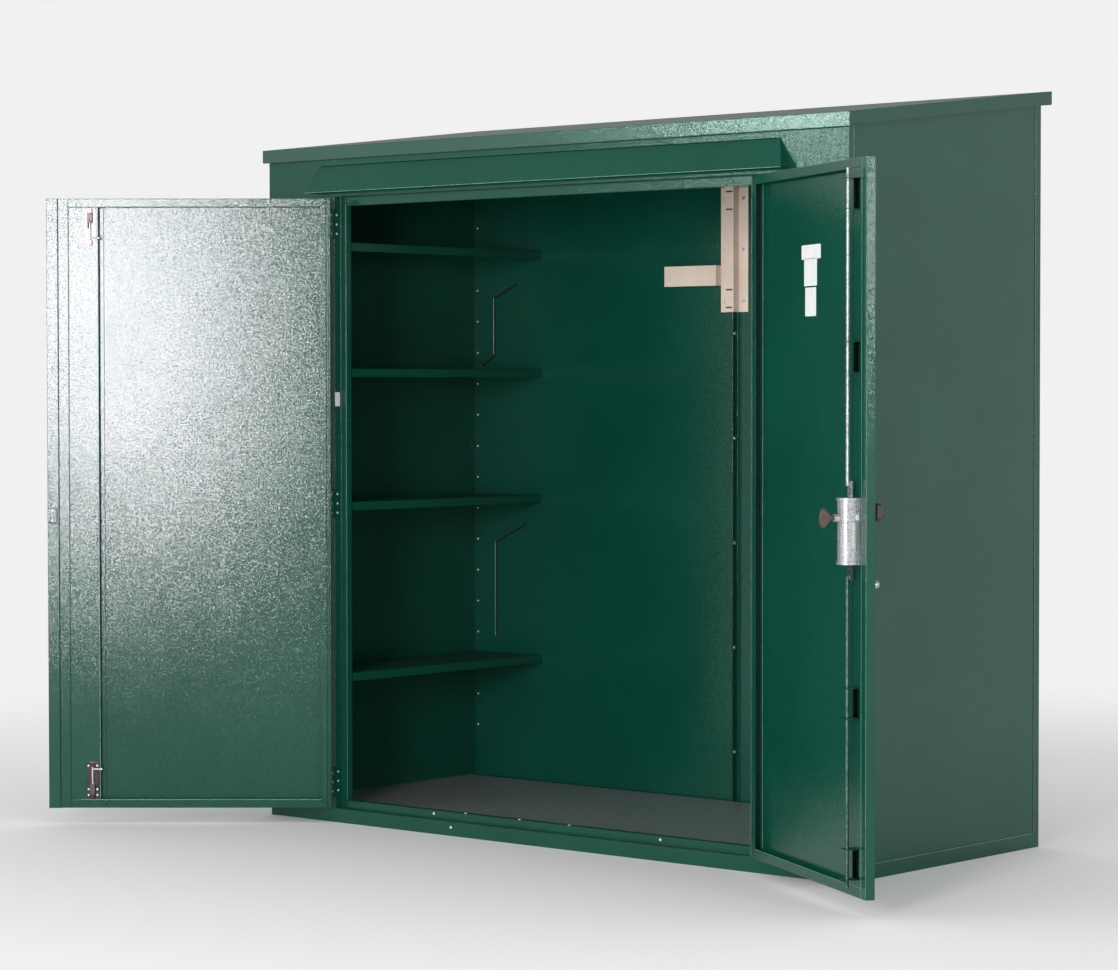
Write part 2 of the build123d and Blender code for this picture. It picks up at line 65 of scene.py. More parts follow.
# The doors: distances along a door from its hinge, and depths inwards from its skin
DOOR_INNER_FACE = 0.025
LIP = 0.026
EDGE_LIP = 0.035
DOOR_REACH = 0.780
CHANNEL_STEP = 0.720
RIGHT_REACH = 0.815
RIGHT_DOOR_LINES = (0.0045, RIGHT_REACH - 0.0315, RIGHT_REACH - 0.0008)
FOOT_LINE = 0.031
FOOT_WIDTH = 0.004
FOOT_RISE = 0.0012
BEAD_LINE = 0.0105
BEAD_WIDTH = 0.005
BEAD_RISE = 0.0016
FOLD_SEAM_LINE = 0.0165
MITRE_START = 0.003
LIP_SEAM_WIDTH = 0.0026
LIP_SEAM_RISE = 0.0005
DRAIN_HOLES = (0.444, 0.700)
DRAIN_HEIGHT = 0.064
DRAIN_RADIUS = 0.003
DRAIN_RIM = 0.0008
DRAIN_DEPTH = 0.0002
BLANK_STICKERS = (
    (0.384, 1.709, (0.134, 0.038)),
    (0.380, 1.656, (0.090, 0.074)),
    (0.381, 1.577, (0.076, 0.076)),
)

# Hinges
HINGE_AXIS_TO_FACE = 0.004
HINGE_HALF_HEIGHT = 0.045
HINGE_SCREW = (0.0034, 0.0012)
HINGE_SCREW_STEP = 0.029
JAMB_SCREW_LINE = -0.468
LEAF_SCREW_DEPTH = 0.012

# Tower bolts and slot plate on the left door
BOLT_LINE = 0.743
BOLT_PLATE = 0.002
BOLT_SCREW = (0.0032, 0.0013)
BOLT_SCREW_STEPS = (0.010, 0.028, 0.101)
BOLT_SCREW_SIDE = 0.0135
RAIL_START = 0.0135
RAIL_ENDS = ((-1, 0.045), (1, 0.062))
RAIL_SIDE = 0.0058
RAIL_WIDTH = 0.0036
RAIL_HEIGHT = 0.009
COVER_END = 0.045
COVER_SIZE = (0.0152, 0.0018, 0.0315)
COVER_LIFT = 0.0095
COVER_STRIP_STEP = 0.005
SLOT_PLATE = 0.003
SLOT_PLATE_PLACE = (0.8635, 0.956)
SLOT_SCREW = (0.003, 0.0012)
SLOT_SCREW_STEP = 0.016

# How far the edges of small bars and of paper corners are rounded
THIN_EDGE = 0.0004
FINE_EDGE = 0.0006
RAIL_EDGE = 0.0008
STICKER_CORNER = 0.003

# Lock on the right door. The case's plate and catch: depth, height from the case's middle, size.
LOCK_LINE = 0.750
CASE_SIDE = 0.7763
CASE_PLATE = (0.037, -0.010, (0.0012, 0.021, 0.067))
CASE_CATCH = (0.033, 0.036, (0.0016, 0.009, 0.014))
CONNECTOR_LIFT = 0.0195
ROD_BOLT = (0.0048, 0.005)
ROD_BOLTS = (("upper_lock_rod", 1.103), ("lower_lock_rod", 0.867))
ESCUTCHEON_DEPTH = 0.022
CAP_RADIUS = 0.011
CAP_DEPTH = 0.014
CAP_DISH = 0.001

# Corner laps, jambs and threshold
VERGE_COVER = 0.038
REBATE_DEPTH = 0.028
CORNER_INSET = 0.0007
CORNER_WIDTH = 0.002
PAD_SIZE = (0.0014, 0.021, 0.043)
PAD_PLACE = (-0.4655, 1.3145)
SILL_SCREW = (0.0042, 0.0018)
RISER_SCREWS = (-0.444, 0.442)
RISER_SCREW_HEIGHT = 0.057
TREAD_SCREWS = (-0.320, -0.104, 0.092)
TREAD_SCREW_INSET = 0.008
RAIL_SCREW = (-0.348, 0.026)

# Back wall
BACK_SEAM_WIDTH = 0.0014
BACK_SEAM_RISE = 0.0004
CORNER_SCREW = (0.0032, 0.0014)
CORNER_SCREWS = 18
CORNER_SCREW_LINE = 1.103
CORNER_SCREW_START = 0.213
CORNER_SCREW_STEP = 0.1045
SHELF_HEIGHTS = (0.45, 0.98, 1.395, 1.787)
SHELF_CLEARANCE = 0.03
SEAM_BOLT = (0.005, 0.0045)
SEAM_BOLTS = 5
SEAM_BOLT_INSET = 0.015
SEAM_BOLT_START = 0.20
SEAM_BOLT_STEP = 0.33
BRACKET_SHEET = 0.002
BRACKET_BOLT = (0.0045, 0.004)
BRACKET_BOLT_SIDE = 0.036
BRACKET_BOLT_INSET = 0.035
UPPER_SWAGE = ((-0.930, 1.694), (-1.030, 1.649), (-1.030, 1.459), (-1.090, 1.422))
LOWER_SWAGE = ((-0.890, 0.896), (-1.024, 0.833), (-1.024, 0.520))
SWAGE_RADIUS = 0.0022
# The shades are wider dark copies of the swages, shifted away from the light: painted shade
SWAGE_SHADE_RADIUS = 0.0042
SWAGE_SHADE_SHIFT = 0.0052

# The pressed grain of the green coating: features per metre, and heights in metres
CLOUD_SCALE = 2.2
WAVE_SCALE = 5.0
WAVE_HEIGHT = 0.0005
GRAIN_SCALE = 420.0
GRAIN_HEIGHT = 0.00006
FACET_SCALE = 520.0
FACET_LEAN = 0.085
FOLD_ROUNDING = 0.0035
MATT_ON_TOP = 0.38

# The other finishes: features per metre
SPANGLE_SCALE = 260.0
DRAWN_SCALE = 90.0
DRAWN_STRETCH = (1, 1, 0.15)
STEEL_PIT_SCALE = 260.0
PLATING_SCALE = 500.0
ROD_WEAR_SCALE = 140.0
ROD_PIT_SCALE = 300.0
BRONZE_SCALE = 120.0
GRIP_WEAR_SCALE = 60.0
CREAM_CLOUD_SCALE = 9.0
FOLD_HIGHLIGHT_SCALE = 80.0
PAPER_CLOUD_SCALE = 45.0
DUST_AND_SHADE_SCALE = 150.0

# The studio: floor, backdrop, fill light, and what the lamps aim at
FLOOR_RADIUS = 60
FADE_START = 2.3
FADE_END = 5.5
PALE_FLOOR = (0.90, 0.88, 0.87, 1)
PALE_WALL = (0.88, 0.88, 0.88, 1)
DIM_CEILING = (0.20, 0.21, 0.21, 1)
CEILING_START = 0.4
CEILING_END = 0.75
FILL_LIGHT = (0.78, 0.80, 0.79, 1)
LAMP_DISTANCE = 9.0
LEFT_DOOR_MIDDLE = Vector((-1.15, -0.76, 1.0))
FASCIA_END = Vector((0.9, -0.49, 2.07))
FREE_EDGE = Vector((1.5, -0.9, 1.85))


def corner(name, x, y, z):
    """A point of a node's box, where 0 is its low side, 1 its high side and 0.5 the middle."""
    low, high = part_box(name)
    return Vector([low[i] + share * (high[i] - low[i]) for i, share in enumerate((x, y, z))])


def door_space(joint_name, open_angle):
    """The space of an open door, whose Y axis points to the inner side and Z is height."""
    hinge = Vector(joints[joint_name]["pos_m"])
    hinge.z = 0
    swing = Matrix.Rotation(math.radians(open_angle), 4, "Z")
    return Matrix.Translation(hinge) @ swing @ Matrix.Translation((0, HINGE_AXIS_TO_FACE, 0))


LEFT_OPEN = joints["left_door_hinge"]["range_deg"][1]
RIGHT_OPEN = -joints["right_door_hinge"]["range_deg"][0]
left_door = door_space("left_door_hinge", -LEFT_OPEN)
right_door = door_space("right_door_hinge", RIGHT_OPEN)
shed = Matrix.Identity(4)


class Recipe:
    """A node material, built up one node at a time."""

    def __init__(self, name):
        self.material = bpy.data.materials.new(name)
        self.material.use_nodes = True
        self.tree = self.material.node_tree
        self.tree.nodes.clear()
        self.output = self.tree.nodes.new("ShaderNodeOutputMaterial")
        self.place = self.node("ShaderNodeTexCoord").outputs["Object"]

    def node(self, kind, inputs=None, **settings):
        made = self.tree.nodes.new(kind)
        for key, value in settings.items():
            setattr(made, key, value)
        for key, value in (inputs or {}).items():
            if isinstance(value, bpy.types.NodeSocket):
                self.tree.links.new(value, made.inputs[key])
            else:
                made.inputs[key].default_value = value
        return made

    def noise(self, scale, detail=2.0, roughness=0.5, place=None):
        values = {"Vector": place or self.place, "Scale": scale}
        values.update({"Detail": detail, "Roughness": roughness})
        return self.node("ShaderNodeTexNoise", values).outputs["Fac"]

    def cell_colours(self, scale):
        values = {"Vector": self.place, "Scale": scale}
        return self.node("ShaderNodeTexVoronoi", values).outputs["Color"]

    def stretched(self, scale):
        values = {"Vector": self.place, "Scale": scale}
        return self.node("ShaderNodeMapping", values).outputs["Vector"]

    def ramp(self, factor, dark, light, low=0.3, high=0.7):
        """A colour that goes from dark at the low end of a factor to light at its high end."""
        ramp = self.node("ShaderNodeValToRGB", {"Fac": factor})
        start, end = ramp.color_ramp.elements
        start.position = low
        start.color = (*dark, 1)
        end.position = high
        end.color = (*light, 1)
        return ramp.outputs["Color"]

    def span(self, value, start, end, low=0.3, high=0.7):
        """A value that goes from start to end as another one goes from low to high."""
        limits = {"Value": value, "From Min": low, "From Max": high}
        limits.update({"To Min": start, "To Max": end})
        return self.node("ShaderNodeMapRange", limits).outputs["Result"]

    def bump(self, height, distance, strength=1.0, normal=None):
        values = {"Height": height, "Distance": distance, "Strength": strength}
        if normal:
            values["Normal"] = normal
        return self.node("ShaderNodeBump", values).outputs["Normal"]

    def vector_step(self, operation, inputs):
        return self.node("ShaderNodeVectorMath", inputs, operation=operation).outputs[0]

    def tilted(self, normal, way, amount):
        """A normal leaned towards a random colour's direction, by up to half of the amount."""
        centred = self.vector_step("SUBTRACT", {0: way, 1: (0.5, 0.5, 0.5)})
        lean = self.vector_step("SCALE", {0: centred, "Scale": amount})
        leaned = self.vector_step("ADD", {0: normal, 1: lean})
        return self.vector_step("NORMALIZE", {0: leaned})

    def upward(self):
        """How far the surface faces up, from 0 on a wall to 1 on a level top."""
        facing_way = self.node("ShaderNodeNewGeometry").outputs["True Normal"]
        return self.node("ShaderNodeSeparateXYZ", {"Vector": facing_way}).outputs["Z"]

    def rounded(self, radius):
        """A normal that rounds the folds of the sheet."""
        return self.node("ShaderNodeBevel", {"Radius": radius}, samples=4).outputs["Normal"]

    def finished(self, **inputs):
        """The material, with its shader's sockets given by name, underscores for spaces."""
        values = {key.replace("_", " "): value for key, value in inputs.items()}
        skin = self.node("ShaderNodeBsdfPrincipled", values)
        return self.shown(skin)

    def shown(self, shader):
        self.tree.links.new(shader.outputs[0], self.output.inputs["Surface"])
        return self.material


def coated_green(name, shine):
    """Dark green plastic-coated steel with a fine pressed grain, duller where it faces up."""
    recipe = Recipe(name)
    cloud = recipe.noise(CLOUD_SCALE, detail=3.0, roughness=0.6)
    grain = recipe.noise(GRAIN_SCALE, detail=0.0)
    waves = recipe.noise(WAVE_SCALE, detail=1.0)
    normal = recipe.bump(waves, WAVE_HEIGHT, 1.0, recipe.rounded(FOLD_ROUNDING))
    normal = recipe.bump(grain, GRAIN_HEIGHT, 1.0, normal)
    gloss = recipe.span(cloud, 0.11, 0.15)
    weathered = recipe.span(recipe.upward(), 0.0, MATT_ON_TOP, 0.6, 0.95)
    roughness = recipe.node("ShaderNodeMath", {0: gloss, 1: weathered}, operation="ADD")
    return recipe.finished(
        Base_Color=recipe.ramp(cloud, (0.003, 0.058, 0.036), (0.004, 0.072, 0.045)),
        Roughness=roughness.outputs["Value"],
        IOR=1.5,
        Specular_IOR_Level=shine,
        Specular_Tint=(0.93, 1.0, 0.98, 1),
        Normal=recipe.tilted(normal, recipe.cell_colours(FACET_SCALE), FACET_LEAN),
    )


def galvanised():
    """Dull zinc with faint spangle."""
    recipe = Recipe("galvanised_sheet")
    mottle = recipe.noise(SPANGLE_SCALE, roughness=0.7)
    return recipe.finished(
        Base_Color=recipe.ramp(mottle, (0.22, 0.23, 0.24), (0.62, 0.63, 0.64), 0.35, 0.62),
        Metallic=0.75,
        Roughness=recipe.span(mottle, 0.32, 0.5),
        Normal=recipe.bump(mottle, 0.0008, 0.6, recipe.rounded(0.0012)),
    )


def bright_steel():
    """Drawn steel with a grain along its length and fine pits."""
    recipe = Recipe("bright_steel")
    drawn = recipe.noise(DRAWN_SCALE, detail=3.0, place=recipe.stretched(DRAWN_STRETCH))
    pits = recipe.noise(STEEL_PIT_SCALE, detail=1.0)
    return recipe.finished(
        Base_Color=recipe.ramp(drawn, (0.42, 0.43, 0.43), (0.62, 0.63, 0.62)),
        Metallic=0.9,
        Roughness=recipe.span(drawn, 0.28, 0.42),
        Normal=recipe.bump(pits, 0.0004, 1.0, recipe.rounded(0.0008)),
    )


def screw_zinc():
    """Bright zinc plating that scatters light."""
    recipe = Recipe("screw_zinc")
    plating = recipe.noise(PLATING_SCALE, detail=1.0)
    return recipe.finished(
        Base_Color=recipe.ramp(plating, (0.66, 0.68, 0.68), (0.84, 0.86, 0.86)),
        Metallic=0.25,
        Roughness=0.4,
    )


def lock_rod_steel(name, dark, light):
    """Steel rod in two given tones mottled at random, rough enough to sparkle; the callers choose the tones for
    painted highlight or painted shade.
    """
    recipe = Recipe(name)
    wear_and_sheen = recipe.noise(ROD_WEAR_SCALE, detail=3.0)
    pits = recipe.noise(ROD_PIT_SCALE, detail=1.0)
    return recipe.finished(
        Base_Color=recipe.ramp(wear_and_sheen, dark, light, 0.35, 0.65),
        Metallic=0.8,
        Roughness=recipe.span(wear_and_sheen, 0.28, 0.42),
        Normal=recipe.bump(pits, 0.0009, 1.0),
    )


def bronzed():
    """Dark bronzed steel, nearly a mirror."""
    recipe = Recipe("bronzed_steel")
    drawn = recipe.noise(BRONZE_SCALE, detail=3.0)
    return recipe.finished(
        Base_Color=recipe.ramp(drawn, (0.052, 0.038, 0.040), (0.082, 0.062, 0.064)),
        Metallic=1.0,
        Roughness=0.2,
        Normal=recipe.rounded(0.0012),
    )


def dark_grip():
    """Brown-black metal, rubbed by hands."""
    recipe = Recipe("dark_grip")
    wear_and_sheen = recipe.noise(GRIP_WEAR_SCALE, detail=3.0)
    return recipe.finished(
        Base_Color=recipe.ramp(wear_and_sheen, (0.040, 0.026, 0.022), (0.070, 0.048, 0.040)),
        Roughness=recipe.span(wear_and_sheen, 0.25, 0.4),
    )


def cream_coating():
    """Satin cream coating."""
    recipe = Recipe("cream_coating")
    cloud = recipe.noise(CREAM_CLOUD_SCALE)
    return recipe.finished(
        Base_Color=recipe.ramp(cloud, (0.72, 0.62, 0.50), (0.80, 0.70, 0.58)),
        Roughness=0.45,
        Normal=recipe.rounded(0.001),
    )


def painted_fold_highlight():
    """Painted highlight: the green coating drawn paler along folds, cut edges and pressed ribs, where their
    rounding would catch the light. Its tone varies at random.
    """
    recipe = Recipe("painted_fold_highlight")
    wear_and_sheen = recipe.noise(FOLD_HIGHLIGHT_SCALE, detail=3.0)
    return recipe.finished(
        Base_Color=recipe.ramp(wear_and_sheen, (0.05, 0.19, 0.15), (0.16, 0.34, 0.29), 0.35, 0.65),
        Roughness=0.3,
    )


def blank_paper():
    """White paper, a little uneven."""
    recipe = Recipe("blank_paper")
    cloud = recipe.noise(PAPER_CLOUD_SCALE, detail=3.0)
    return recipe.finished(
        Base_Color=recipe.ramp(cloud, (0.70, 0.72, 0.72), (0.80, 0.81, 0.80)),
        Roughness=0.55,
    )


def dark_seams_and_painted_shade():
    """The dark of a gap or a seam, and painted shade: the dark inside a small hole and on the shaded side of a
    pressed line.
    """
    recipe = Recipe("dark_seams_and_painted_shade")
    dust_and_shade_tone = recipe.noise(DUST_AND_SHADE_SCALE)
    return recipe.finished(
        Base_Color=recipe.ramp(dust_and_shade_tone, (0.002, 0.010, 0.007), (0.004, 0.016, 0.011)),
        Roughness=0.8,
    )


FINISHES = {
    "green_coating": coated_green("coated_green", 0.42),
    "galvanised_steel": galvanised(),
    "bright_steel": bright_steel(),
    "bronzed_steel": bronzed(),
    "black_metal": dark_grip(),
    "cream_coating": cream_coating(),
}
roof_green = coated_green("roof_green", 0.85)
# The two lock rods share one steel: the upper one is pale for a painted highlight, the lower one dark green for
# painted shade
upper_rod_painted_highlight = lock_rod_steel("upper_rod_highlight_steel", (0.20, 0.24, 0.23), (0.46, 0.50, 0.49))
lower_rod_painted_shade = lock_rod_steel("lower_rod_shade_steel", (0.03, 0.08, 0.065), (0.09, 0.16, 0.14))
# Pale green painted highlight for the thin lines along folds, cut edges and ribs
fold_highlight_green = painted_fold_highlight()
zinc = screw_zinc()
paper = blank_paper()
seam_and_shade_dark = dark_seams_and_painted_shade()


def coat(name, material):
    slots = nodes[name].data.materials
    slots.clear()
    slots.append(material)


for part in frame["record"]["subparts"]:
    coat(part["node"], FINISHES[part["material_slot"]])
coat("roof_sheet", roof_green)
coat("upper_lock_rod", upper_rod_painted_highlight)
coat("lower_lock_rod", lower_rod_painted_shade)


def rest_tools():
    """Nothing is selected or active, so that an operator touches only the new piece."""
    bpy.ops.object.select_all(action="DESELECT")
    bpy.context.view_layer.objects.active = None


def pick_faces(piece, wanted):
    """Selects a piece's faces by a test of their middle and normal, and goes into edit mode."""
    bpy.context.tool_settings.mesh_select_mode = (False, False, True)
    bpy.ops.object.mode_set(mode="EDIT")
    bpy.ops.mesh.select_all(action="DESELECT")
    bpy.ops.object.mode_set(mode="OBJECT")
    for face in piece.data.polygons:
        face.select = wanted(face.center, face.normal)
    bpy.ops.object.mode_set(mode="EDIT")


def upper_face(middle, normal):
    return normal.z > 0.9


def done():
    bpy.ops.object.mode_set(mode="OBJECT")
    return bpy.context.object


def modified(piece, kind, **settings):
    """Adds a modifier with its settings and applies it."""
    modifier = piece.modifiers.new(kind.lower(), kind)
    for key, value in settings.items():
        setattr(modifier, key, value)
    bpy.context.view_layer.objects.active = piece
    bpy.ops.object.modifier_apply(modifier=modifier.name)
    return piece


def softened_bar(centre, size, round_by):
    """A straight bar with softened edges."""
    rest_tools()
    bpy.ops.mesh.primitive_cube_add(size=1, location=centre, scale=size)
    piece = bpy.context.object
    bpy.ops.object.transform_apply(location=True, rotation=True, scale=True)
    return modified(piece, "BEVEL", width=round_by, segments=2)


def disc(sides, radius, low, high):
    """A round or many-sided disc from one height to another, for the callers to shape."""
    rest_tools()
    middle = (0, 0, (low + high) / 2)
    bpy.ops.mesh.primitive_cylinder_add(
        vertices=sides, radius=radius, depth=high - low, location=middle
    )
    piece = bpy.context.object
    bpy.ops.object.transform_apply(location=True)
    return piece


def facing(place, direction):
    """Turns a piece made along Z to point in a direction, at a place."""
    turn = Vector(direction).to_track_quat("Z", "Y").to_matrix().to_4x4()
    return Matrix.Translation(place) @ turn


def settle(piece, name, body, material, space=shed):
    """Gives a piece its place in the mesh, its name, its finish and the body that it rides on."""
    piece.data.transform(space @ piece.matrix_world)
    piece.matrix_world = Matrix.Identity(4)
    piece.name = name
    piece.data.materials.clear()
    piece.data.materials.append(material)
    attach(piece, body)


def gathered(pieces):
    """Joins the pieces into the first one, and removes the empty objects that joining leaves."""
    rest_tools()
    first = pieces[0]
    emptied = [piece.name for piece in pieces[1:]]
    for piece in pieces:
        piece.select_set(True)
    bpy.context.view_layer.objects.active = first
    if emptied:
        bpy.ops.object.join()
    for name in emptied:
        if name in bpy.data.objects:
            bpy.data.objects.remove(bpy.data.objects[name])
    return first


def repeated(master, places):
    """Copies of one piece, each with its own mesh, joined into one. The first piece is used up."""
    copies = []
    for place in places:
        copy = master.copy()
        copy.data = master.data.copy()
        bpy.context.scene.collection.objects.link(copy)
        copy.data.transform(place @ master.matrix_world)
        copy.matrix_world = Matrix.Identity(4)
        copies.append(copy)
    bpy.data.objects.remove(master)
    return gathered(copies)


def screw(radius, rise):
    """A low domed screw head with a round socket, standing on the plane Z = 0."""
    head = disc(20, radius, 0, rise)
    pick_faces(head, upper_face)
    bpy.ops.mesh.bevel(offset=rise * 0.7, segments=3, affect="EDGES")
    bpy.ops.object.mode_set(mode="OBJECT")
    pick_faces(head, lambda middle, normal: normal.z > 0.99 and middle.z > rise * 0.9)
    bpy.ops.mesh.inset(thickness=radius * 0.35)
    bpy.ops.mesh.extrude_region_move(TRANSFORM_OT_translate={"value": (0, 0, -rise * 0.5)})
    return done()


def bolt_head(radius, rise):
    """A hexagon head on a washer, standing on the plane Z = 0."""
    washer = disc(24, radius * 1.35, 0, rise * 0.25)
    hexagon = disc(6, radius, rise * 0.25, rise)
    modified(hexagon, "BEVEL", width=rise * 0.12, segments=2)
    return gathered([washer, hexagon])


def sticker(distance, height, size):
    """A blank sheet of paper stuck on the right door's inner face, in the door's own space."""
    rest_tools()
    bpy.ops.mesh.primitive_plane_add(size=1)
    sheet = bpy.context.object
    sheet.scale = (*size, 1)
    bpy.ops.object.transform_apply(scale=True)
    bpy.ops.object.mode_set(mode="EDIT")
    bpy.ops.mesh.select_all(action="SELECT")
    bpy.ops.mesh.bevel(offset=STICKER_CORNER, segments=3, affect="VERTICES")
    sheet = done()
    modified(sheet, "SOLIDIFY", thickness=PAPER, offset=1)
    sheet.data.transform(facing((-distance, SHEET, height), INWARD))
    return sheet


def thin_line(start, end, outward, width=LINE_WIDTH, rise=LINE_RISE):
    """A thin raised line on a flat face, from one point to another, such as a painted highlight along an edge or a
    dark seam.
    """
    start, end, outward = Vector(start), Vector(end), Vector(outward)
    run = end - start
    strip = softened_bar((0, 0, 0), (width, rise, run.length), rise * 0.3)
    along = run.normalized()
    turn = Matrix((outward.cross(along), outward, along)).transposed().to_4x4()
    strip.data.transform(Matrix.Translation((start + end) / 2) @ turn)
    return strip


def upright_line(x, y, low, high, outward, width=LINE_WIDTH, rise=LINE_RISE):
    return thin_line((x, y, low), (x, y, high), outward, width, rise)


def shed_edge_highlights():
    """Painted highlights, thin pale lines along the sheet's folds and cut edges: corner laps, hood, jambs, base
    rail.
    """
    rail_top = corner("base_right_rail", 0, 0, 1).z
    front = corner("front_right_panel", 1, 0, 0)
    front_lap = corner("front_right_panel", 1, 1, 1)
    rear_lap = corner("back_right_panel", 1, 0, 1)
    hood_low = corner("rain_hood", 0, 0, 0)
    hood_end = corner("rain_hood", 1, 0, 0)
    stop = corner("left_jamb", 1, 0, 0)
    stop_low = corner("door_sill", 0, 0, 1).z
    stop_high = corner("lintel", 0, 0, 0).z
    front_top = front_lap.z - VERGE_COVER
    rear_top = rear_lap.z - VERGE_COVER
    half_line = LINE_WIDTH / 2
    lines = []
    for side in (-1, 1):
        wall = side * front.x
        out = (side, 0, 0)
        fold = front.y + CORNER_INSET
        stop_face = stop.y + REBATE_DEPTH
        lines.append(upright_line(wall, front_lap.y - half_line, rail_top, front_top, out))
        lines.append(upright_line(wall, fold, rail_top, front_top, out, CORNER_WIDTH))
        lines.append(upright_line(wall, rear_lap.y + half_line, rail_top, rear_top, out))
        lines.append(thin_line((wall, front_lap.y, rail_top), (wall, rear_lap.y, rail_top), out))
        lines.append(upright_line(-side * stop.x, stop_face, stop_low, stop_high, FRONT))
    lines.append(thin_line(hood_low, (hood_end.x, hood_low.y, hood_low.z), FRONT))
    settle(gathered(lines), "shed_edge_highlights", "shed", fold_highlight_green)


def back_wall_seam():
    """The joint between the two sheets of the back wall, seen from outside."""
    rail_top = corner("base_right_rail", 0, 0, 1).z
    back = corner("back_left_panel", 1, 1, 1)
    wall_top = back.z - VERGE_COVER
    seam = upright_line(0, back.y, rail_top, wall_top, BACK, BACK_SEAM_WIDTH, BACK_SEAM_RISE)
    settle(seam, "back_wall_seam", "shed", seam_and_shade_dark)


def left_door_edge_highlights(bottom, top):
    """Painted highlights along the edges on the left door's inner side."""
    face = DOOR_INNER_FACE
    lip = bottom + LIP
    lower = thin_line((EDGE_LIP, face, lip), (DOOR_REACH, face, lip), INWARD)
    step = upright_line(CHANNEL_STEP, face, lip, top - LIP, INWARD)
    return gathered([lower, step])


def right_door_edge_highlights(bottom, top):
    """Painted highlights along the edges on the right door's inner side, and along the fillet at its hinge lip's
    foot.
    """
    face = DOOR_INNER_FACE
    lip = bottom + LIP
    lines = [thin_line((-EDGE_LIP, face, lip), (-DOOR_REACH, face, lip), INWARD)]
    for distance in RIGHT_DOOR_LINES:
        lines.append(upright_line(-distance, face, bottom, top, INWARD))
    lines.append(upright_line(-FOOT_LINE, SHEET, lip, top - LIP, INWARD, FOOT_WIDTH, FOOT_RISE))
    return gathered(lines)


def lip_seams(side, bottom, top):
    """The mitres where a door's lips meet, and the left door's fold seam beside the hinges."""
    face = DOOR_INNER_FACE
    ends = []
    for edge, lip in ((bottom, bottom + LIP), (top, top - LIP)):
        ends.append(((side * MITRE_START, face, edge), (side * EDGE_LIP, face, lip)))
    if side > 0:
        ends.append(((FOLD_SEAM_LINE, face, bottom), (FOLD_SEAM_LINE, face, top)))
    size = (LIP_SEAM_WIDTH, LIP_SEAM_RISE)
    return gathered([thin_line(start, end, INWARD, *size) for start, end in ends])


def door_lips():
    """Painted highlights along the edges, and the beads and seams, on the inner side of each door."""
    bottom = corner("left_door_panel", 0, 0, 0).z
    top = corner("left_door_panel", 0, 0, 1).z
    face = DOOR_INNER_FACE
    slot = "green_coating"
    for side, space, body, edges in (
        (1, left_door, "left_door", left_door_edge_highlights),
        (-1, right_door, "right_door", right_door_edge_highlights),
    ):
        # The door's edge lines are pale green painted highlight
        settle(edges(bottom, top), body + "_edge_highlights", body, fold_highlight_green, space)
        line = side * BEAD_LINE
        bead = upright_line(line, face, bottom, top, INWARD, BEAD_WIDTH, BEAD_RISE)
        settle(bead, body + "_lip_bead", body, FINISHES[slot], space)
        settle(lip_seams(side, bottom, top), body + "_lip_seams", body, seam_and_shade_dark, space)


def hinge_screws(name, body, face, depth, outward, space=shed):
    """Three screws in a leaf of each of a door's three hinges."""
    low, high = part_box("left_frame_hinges")
    middle = (low[2] + high[2]) / 2
    reach = (high[2] - low[2]) / 2 - HINGE_HALF_HEIGHT
    places = []
    for height in (middle - reach, middle, middle + reach):
        for step in (-HINGE_SCREW_STEP, 0, HINGE_SCREW_STEP):
            places.append(facing((face, depth, height + step), (outward, 0, 0)))
    heads = repeated(screw(*HINGE_SCREW), places)
    settle(heads, name, body, zinc, space)


def all_hinge_screws():
    leaf_face = joints["left_door_hinge"]["pos_m"][0] - SHEET
    hinge_screws("left_jamb_screws", "shed", leaf_face, JAMB_SCREW_LINE, 1)
    hinge_screws("right_jamb_screws", "shed", -leaf_face, JAMB_SCREW_LINE, -1)
    hinge_screws("left_door_hinge_screws", "left_door", SHEET, LEAF_SCREW_DEPTH, -1, left_door)
    hinge_screws("right_door_hinge_screws", "right_door", -SHEET, LEAF_SCREW_DEPTH, 1, right_door)


def sill_screws():
    """The fixings in the threshold's riser and tread, and one in the base rail below it."""
    riser = corner("door_sill", 0, 0, 0).y + REBATE_DEPTH
    tread = corner("door_sill", 0, 0, 1).z
    rail_face = corner("base_front_rail", 0, 0, 0).y
    places = []
    for x in RISER_SCREWS:
        places.append(facing((x, riser, RISER_SCREW_HEIGHT), FRONT))
    for x in TREAD_SCREWS:
        places.append(facing((x, riser + TREAD_SCREW_INSET, tread), (0, 0, 1)))
    places.append(facing((RAIL_SCREW[0], rail_face, RAIL_SCREW[1]), FRONT))
    heads = repeated(screw(*SILL_SCREW), places)
    settle(heads, "sill_screws", "shed", zinc)


def door_pad():
    """The pale pad on the left jamb that the door closes against."""
    face = corner("left_jamb", 0, 0, 0).x + SHEET
    pad = softened_bar((face + PAD_SIZE[0] / 2, *PAD_PLACE), PAD_SIZE, FINE_EDGE)
    settle(pad, "left_jamb_pad", "shed", paper)


def stickers():
    """The three blank paper stickers on the right door."""
    made = []
    for distance, height, size in BLANK_STICKERS:
        made.append(sticker(distance, height, size))
    settle(gathered(made), "blank_stickers", "right_door", paper, right_door)


